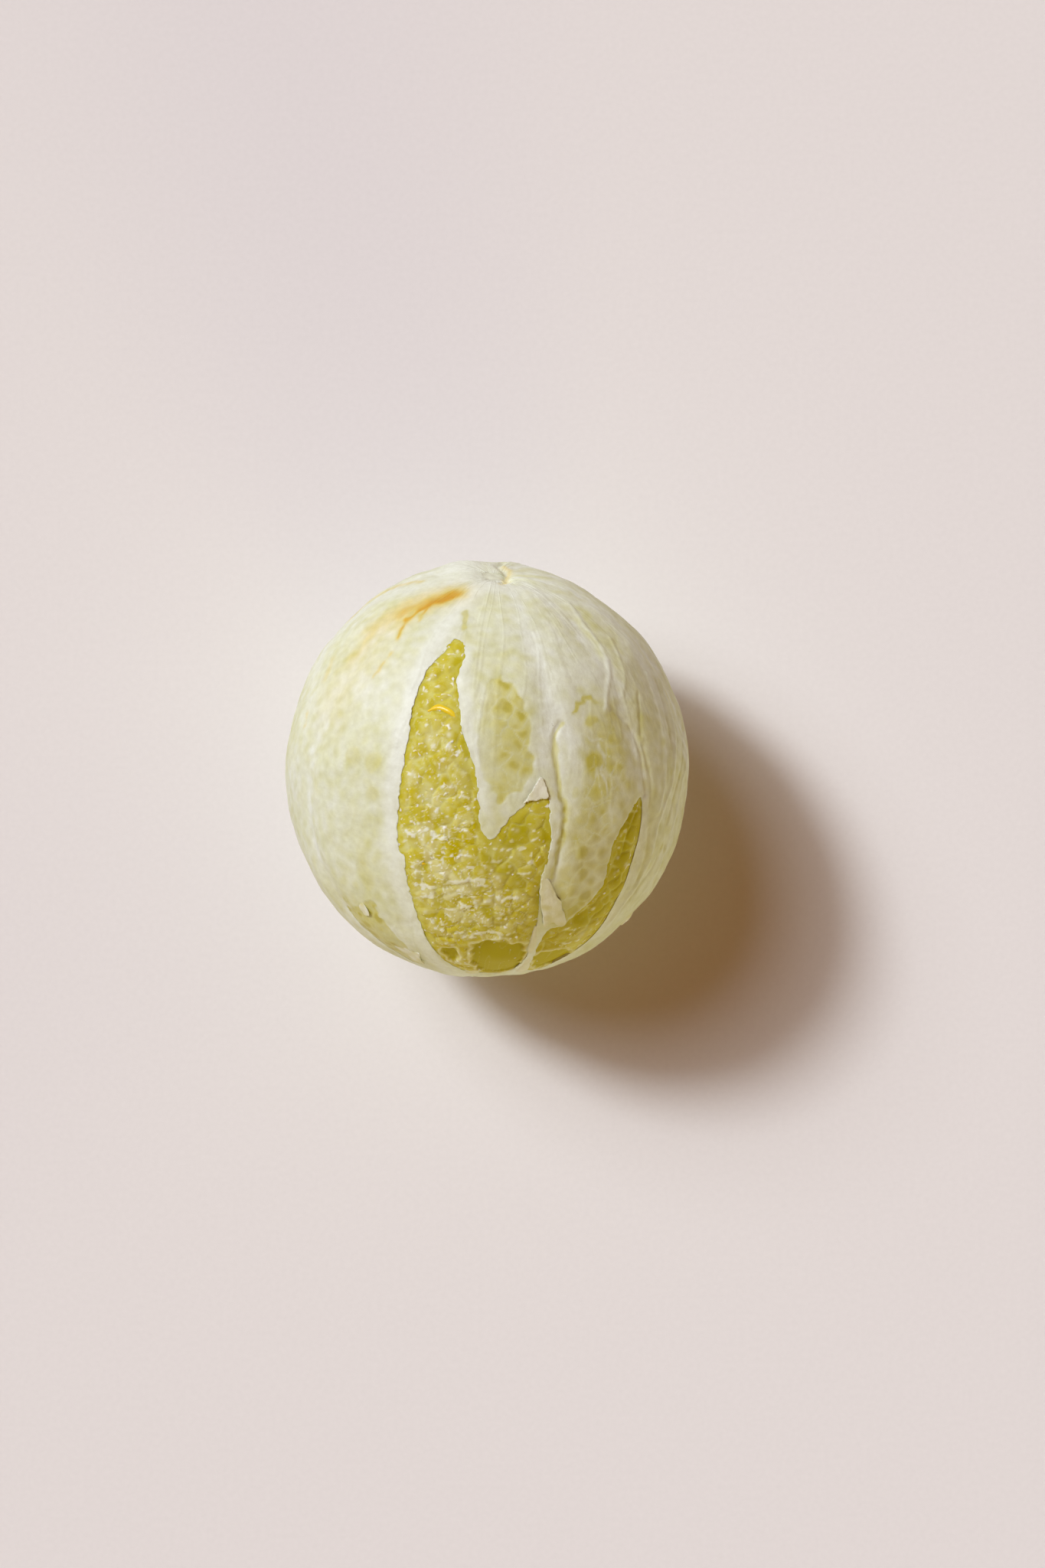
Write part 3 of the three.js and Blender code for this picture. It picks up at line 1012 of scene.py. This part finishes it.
def flesh_material():
    """Juice sacs: wet, clear yellow-green bags, which the light goes deep into."""
    looks = settings()
    material, tree = empty_material("Juice sacs, wet and clear")
    place = add(tree, "ShaderNodeTexCoord", out="Object")
    mood, wall, deep, torn = (
        add(tree, "ShaderNodeAttribute", attribute_name=paint, out="Fac")
        for paint in ("mood", "wall", "deep", "torn")
    )
    milk = add(tree, "ShaderNodeTexNoise", {"Vector": place, "Scale": per_mm(1.1), "Detail": 3.0})
    milk = {"Value": milk, "From Min": 0.48, "From Max": 0.68, "To Max": 0.5}
    milk = add(tree, "ShaderNodeMapRange", milk)
    fewer = add(tree, "ShaderNodeMapRange", {"Value": deep, "To Min": 0.68, "To Max": 0.82})
    # Small raised beads of juice: bumped and glossy, and painted near white as painted highlights.
    beads = add(tree, "ShaderNodeTexNoise", {"Vector": place, "Scale": per_mm(0.5), "Detail": 0.0})
    beads = add(tree, "ShaderNodeMapRange", {"Value": beads, "From Min": fewer, "From Max": 0.86})
    colour = looks.flesh
    for share, layer in (
        (mood, looks.flesh_pale),
        (milk, looks.sac_wall),
        (deep, looks.flesh_deep),
        (wall, looks.sac_wall),
        # The torn paint includes the painted highlights, so this colour paints them too.
        (torn, looks.torn_wall_and_glint),
        (beads, looks.bead_highlight),
    ):
        layers = {"Factor": share, "A": colour, "B": layer}
        colour = add(tree, "ShaderNodeMix", layers, data_type="RGBA")
    bulges = add(tree, "ShaderNodeTexNoise", {"Vector": place, "Scale": per_mm(1.5), "Detail": 1.0})
    normal = add(tree, "ShaderNodeBump", {"Height": bulges, "Strength": 0.3, "Distance": 0.12 * MM})
    relief = {"Height": beads, "Strength": 0.8, "Distance": 0.1 * MM, "Normal": normal}
    normal = add(tree, "ShaderNodeBump", relief)
    wetness = {"Value": beads, "To Min": 0.5, "To Max": 0.12}
    finish = {
        "Base Color": colour,
        "Roughness": add(tree, "ShaderNodeMapRange", wetness),
        "IOR": 1.36,
        "Specular IOR Level": 0.12,
        "Subsurface Weight": 0.6,
        "Subsurface Radius": (1.0, 0.9, 0.35),
        "Subsurface Scale": 1.0 * MM,
        "Normal": normal,
    }
    surface = add(tree, "ShaderNodeBsdfPrincipled", finish)
    add(tree, "ShaderNodeOutputMaterial", {"Surface": surface})
    return material


def pith_material():
    """Albedo pith: white, spongy and nearly dry, so quite matt, with fine fibres."""
    looks = settings()
    material, tree = empty_material("Albedo pith, spongy")
    place = add(tree, "ShaderNodeTexCoord", out="Object")
    clear = add(tree, "ShaderNodeAttribute", attribute_name="clear", out="Fac")
    clouds = add(tree, "ShaderNodeTexNoise", {"Vector": place, "Scale": per_mm(1.8), "Detail": 3.0})
    clouds = add(tree, "ShaderNodeMapRange", {"Value": clouds, "From Min": 0.3, "From Max": 0.7})
    layers = {"Factor": clouds, "A": looks.pith, "B": looks.pith_pale}
    colour = add(tree, "ShaderNodeMix", layers, data_type="RGBA")
    layers = {"Factor": clear, "A": colour, "B": looks.skin_clear}
    colour = add(tree, "ShaderNodeMix", layers, data_type="RGBA")
    fibres = add(tree, "ShaderNodeTexNoise", {"Vector": place, "Scale": per_mm(0.7), "Detail": 3.0})
    normal = add(tree, "ShaderNodeBump", {"Height": fibres, "Strength": 0.7, "Distance": 0.12 * MM})
    finish = {"Base Color": colour, "Roughness": 0.6, "IOR": 1.4, "Normal": normal}
    surface = add(tree, "ShaderNodeBsdfPrincipled", finish)
    add(tree, "ShaderNodeOutputMaterial", {"Surface": surface})
    return material


def stalk_material():
    """Juice vesicle stalk: a wet thread, clear and strongly yellow."""
    looks = settings()
    material, tree = empty_material("Vesicle stalk, wet yellow thread")
    place = add(tree, "ShaderNodeTexCoord", out="Object")
    clouds = add(tree, "ShaderNodeTexNoise", {"Vector": place, "Scale": per_mm(0.8), "Detail": 3.0})
    layers = {"Factor": clouds, "A": looks.stalk, "B": looks.stalk_pale}
    colour = add(tree, "ShaderNodeMix", layers, data_type="RGBA")
    normal = add(tree, "ShaderNodeBump", {"Height": clouds, "Strength": 0.6, "Distance": 0.1 * MM})
    finish = {"Base Color": colour, "Roughness": 0.3, "IOR": 1.38, "Normal": normal}
    surface = add(tree, "ShaderNodeBsdfPrincipled", finish)
    add(tree, "ShaderNodeOutputMaterial", {"Surface": surface})
    return material


def card_material():
    """Backdrop card: uncoated, pale and matt, with a very fine tooth."""
    looks = settings()
    material, tree = empty_material("Backdrop card, uncoated")
    place = add(tree, "ShaderNodeTexCoord", out="Object")
    # Card's real tooth is about 0.2 mm across, too fine to show, so it is drawn coarser.
    tooth = add(tree, "ShaderNodeTexNoise", {"Vector": place, "Scale": per_mm(0.7)})
    layers = {"Factor": tooth, "A": looks.card, "B": looks.card_pale}
    colour = add(tree, "ShaderNodeMix", layers, data_type="RGBA")
    surface = add(tree, "ShaderNodeBsdfPrincipled", {"Base Color": colour, "Roughness": 0.9})
    add(tree, "ShaderNodeOutputMaterial", {"Surface": surface})
    return material


# ---------------------------------------------------------------------------------------------
# The add-on
# ---------------------------------------------------------------------------------------------


def colour_setting(name, description, colour):
    """A colour that a user can change, with an sRGB hex default."""
    return bpy.props.FloatVectorProperty(
        name=name,
        description=description,
        default=linear(colour),
        size=4,
        min=0,
        max=1,
        subtype="COLOR",
    )


class PeeledMandarinSettings(bpy.types.PropertyGroup):
    """Sizes and colours that a user would change"""

    skin_thickness: bpy.props.FloatProperty(
        name="Skin thickness",
        description="Thickness of the film round each segment",
        default=0.1 * MM,
        unit="LENGTH",
    )
    sac_width: bpy.props.FloatProperty(
        name="Sac width",
        description="Width of a juice sac's rounded outer end",
        default=2.1 * MM,
        unit="LENGTH",
    )
    skin_thin: colour_setting("Thin skin", "Skin where it is thinnest", "#c8cc98")
    skin_dense: colour_setting("Dense skin", "Skin where it is thickest", "#d9debc")
    skin_white: colour_setting("White skin", "Skin with dry white pith on it", "#e2e8dc")
    skin_clear: colour_setting("Clear skin", "Skin that the flesh shows through", "#c4bd48")
    skin_grain: colour_setting("Skin grain", "Fine dark grain of the skin", "#96936a")
    stain: colour_setting("Oil stain", "Thin stain of peel oil", "#d8bc10")
    stain_core: colour_setting("Oil streak", "Middle of a streak of peel oil", "#cc9418")
    flesh: colour_setting("Flesh", "Full juice sacs", "#bcae00")
    flesh_pale: colour_setting("Pale flesh", "Paler juice sacs", "#c8c04a")
    flesh_deep: colour_setting("Deep flesh", "Flesh below the others, in shade", "#b0a600")
    sac_wall: colour_setting("Sac wall", "Walls between the juice sacs", "#d4d484")
    # Also the colour of the painted highlights, the glints on the sacs.
    torn_wall_and_glint: colour_setting("Torn sac wall", "White flakes of torn wall", "#e0e3d0")
    # Painted highlight: the near-white colour painted on the beads of juice.
    bead_highlight: colour_setting("Wet bead", "Small beads of juice on the flesh", "#f2f4ec")
    pith: colour_setting("Pith", "Pith in its hollows", "#d8dac4")
    pith_pale: colour_setting("Pale pith", "Pith on its high places", "#e4e6da")
    stalk: colour_setting("Stalk", "Yellow stalk of a juice sac", "#dcb800")
    stalk_pale: colour_setting("Pale stalk", "Clearer parts of a stalk", "#f0d838")
    card: colour_setting("Card", "The floor", "#e2e1e3")
    card_pale: colour_setting("Pale card", "The floor's high fibres", "#e8e7e9")


class MESH_OT_mandarin_segments(bpy.types.Operator):
    """Make the ten segments: whole ones as wedges in their skin, torn ones as skin alone"""

    bl_idname = "mesh.mandarin_segments"
    bl_label = "Segments"

    def execute(self, context):
        material = skin_material()
        sacs = Sacs()
        for number in range(1, len(SEAMS)):
            torn = number in TEARS
            step = FINE_STEP if number in FINE_SEGMENTS else COARSE_STEP
            lat, lon, rows, columns = segment_grid(number, step, SKIN_OVERLAP if torn else 0.0)
            faces = grid_faces(rows, columns)
            if torn:
                tucked = np.zeros((rows, columns))
                tucked[:, [0, -1]] = SIDE_TUCK
                points = on_ball(lat, lon)
                keep = past_edge(lat, lon, TEARS[number])
                keep += 0.1 * ripples(points, 1.3, 31) + 0.05 * ripples(points, 0.6, 32)
                values = np.stack([lat, lon, tucked.ravel()], axis=1)
                values, faces = cut_sheet(values, faces, keep)
                lat, lon, tucked = values.T
            lift, paints = skin(number, lat, lon, sacs)
            if torn:
                points = on_ball(lat, lon, lift - tucked)
            else:
                points, faces = close_wedge(on_ball(lat, lon, lift), faces, rows, columns)
                paints = for_wedge(paints, rows)
            node = f"segment_{number:02d}"
            piece = make_piece(node + "_skin", points, faces, paints, material, [node])
            if torn:
                thicken(piece, settings().skin_thickness)
        return {"FINISHED"}


class MESH_OT_mandarin_flesh(bpy.types.Operator):
    """Make the flesh of the torn segments, with its rounded juice sacs"""

    bl_idname = "mesh.mandarin_flesh"
    bl_label = "Juice sacs"

    def execute(self, context):
        material = flesh_material()
        sacs = Sacs()
        for number in TEARS:
            lat, lon, rows, columns = segment_grid(number, TORN_STEP, FLESH_OVERLAP)
            lift, paints = flesh(number, lat, lon, sacs)
            points, faces = on_ball(lat, lon, lift), grid_faces(rows, columns)
            points, faces = close_wedge(points, faces, rows, columns)
            paints = for_wedge(paints, rows)
            node = f"segment_{number:02d}"
            make_piece(node + "_juice_sacs", points, faces, paints, material, [node])
        return {"FINISHED"}


class MESH_OT_mandarin_pith(bpy.types.Operator):
    """Make the strands of pith, the yellow sac stalks and the plugs at the two ends"""

    bl_idname = "mesh.mandarin_pith"
    bl_label = "Pith, stalks and end plugs"

    def execute(self, context):
        pith, stalk, film = pith_material(), stalk_material(), skin_material()
        for strand in PITH_STRANDS:
            strip(*strand, pith)
        for thread in STALKS:
            strip(*thread, stalk)
        end_cap("stem_scar", 90, film)
        end_cap("blossom_scar", -90, film)
        return {"FINISHED"}


class MESH_OT_mandarin_flaps(bpy.types.Operator):
    """Make the loose flaps of torn skin"""

    bl_idname = "mesh.mandarin_flaps"
    bl_label = "Torn flaps"

    def execute(self, context):
        material = pith_material()
        for torn_end in FLAPS:
            flap(*torn_end, material)
        return {"FINISHED"}


CAMERA_HEIGHT = 420  # above the middle of the fruit
CAMERA_RIGHT = 4.43  # from the middle of the fruit, towards +X
CAMERA_DOWN = 1.62  # and towards -Y
VIEW_LENGTH = 195  # what the picture's long side takes in at the fruit's middle
FILM_LONG_SIDE = 36
FLOOR_HALF = 3000  # from its middle to each side
DAYLIGHT = (0.92, 0.965, 0.985)
ROOM_GLOW = (0.165, 0.036, 0.001, 1)  # the dim warm light that is left in a shadow

# Each light: how far it stands above the floor and round from +X, as angles, its strength, how
# many degrees across it is, and its colour. The cards throw light back up from below.
LIGHTS = (
    ("key light", 46, 143, 1.95, 10, DAYLIGHT),
    ("key light halo", 49, 140, 1.5, 31, DAYLIGHT),
    ("fill card", -2, -74, 2.5, 35, (0.98, 0.97, 0.45)),
    ("side card", -3, 20, 1.1, 35, (0.95, 1.0, 0.65)),
)


class SCENE_OT_mandarin_stage(bpy.types.Operator):
    """Set the floor, the light and the camera"""

    bl_idname = "scene.mandarin_stage"
    bl_label = "Stage"

    def execute(self, context):
        scene = context.scene
        half = FLOOR_HALF * MM
        corners = [(-half, -half, 0), (half, -half, 0), (half, half, 0), (-half, half, 0)]
        mesh = bpy.data.meshes.new("floor")
        mesh.from_pydata(corners, [], [(0, 1, 2, 3)])
        mesh.materials.append(card_material())
        floor = bpy.data.objects.new("floor", mesh)
        scene.collection.objects.link(floor)

        for name, elevation, azimuth, strength, softness, colour in LIGHTS:
            light = bpy.data.lights.new(name, "SUN")
            light.energy = strength
            light.angle = math.radians(softness)
            light.color = colour
            lamp = bpy.data.objects.new(name, light)
            lamp.rotation_mode = "QUATERNION"
            towards = Vector(out_from(elevation, azimuth))
            lamp.rotation_quaternion = towards.to_track_quat("Z", "Y")
            scene.collection.objects.link(lamp)

        world = bpy.data.worlds.new("warm room")
        world.use_nodes = True
        world.node_tree.nodes["Background"].inputs["Color"].default_value = ROOM_GLOW
        scene.world = world
        scene.view_settings.view_transform = "Standard"

        camera = bpy.data.cameras.new("camera")
        camera.sensor_width = FILM_LONG_SIDE
        camera.lens = FILM_LONG_SIDE * CAMERA_HEIGHT / VIEW_LENGTH
        holder = bpy.data.objects.new("camera", camera)
        holder.location = Vector((CAMERA_RIGHT, -CAMERA_DOWN, CENTRE[2] + CAMERA_HEIGHT)) * MM
        scene.collection.objects.link(holder)
        scene.camera = holder
        return {"FINISHED"}


STEPS = (
    MESH_OT_mandarin_segments,
    MESH_OT_mandarin_flesh,
    MESH_OT_mandarin_pith,
    MESH_OT_mandarin_flaps,
    SCENE_OT_mandarin_stage,
)


class VIEW3D_PT_mandarin(bpy.types.Panel):
    """Shows the fruit's sizes, colours and steps in the sidebar"""

    bl_idname = "VIEW3D_PT_mandarin"
    bl_label = "Peeled mandarin"
    bl_space_type = "VIEW_3D"
    bl_region_type = "UI"
    bl_category = "Mandarin"

    def draw(self, context):
        for name in PeeledMandarinSettings.__annotations__:
            self.layout.prop(settings(), name)
        for step in STEPS:
            self.layout.operator(step.bl_idname)


CLASSES = (PeeledMandarinSettings, *STEPS, VIEW3D_PT_mandarin)


def register():
    for cls in CLASSES:
        bpy.utils.register_class(cls)
    bpy.types.Scene.peeled_mandarin = bpy.props.PointerProperty(type=PeeledMandarinSettings)


def unregister():
    del bpy.types.Scene.peeled_mandarin
    for cls in reversed(CLASSES):
        bpy.utils.unregister_class(cls)


def main():
    register()
    for step in STEPS:
        group, name = step.bl_idname.split(".")
        getattr(getattr(bpy.ops, group), name)()


if __name__ == "__main__":
    main()
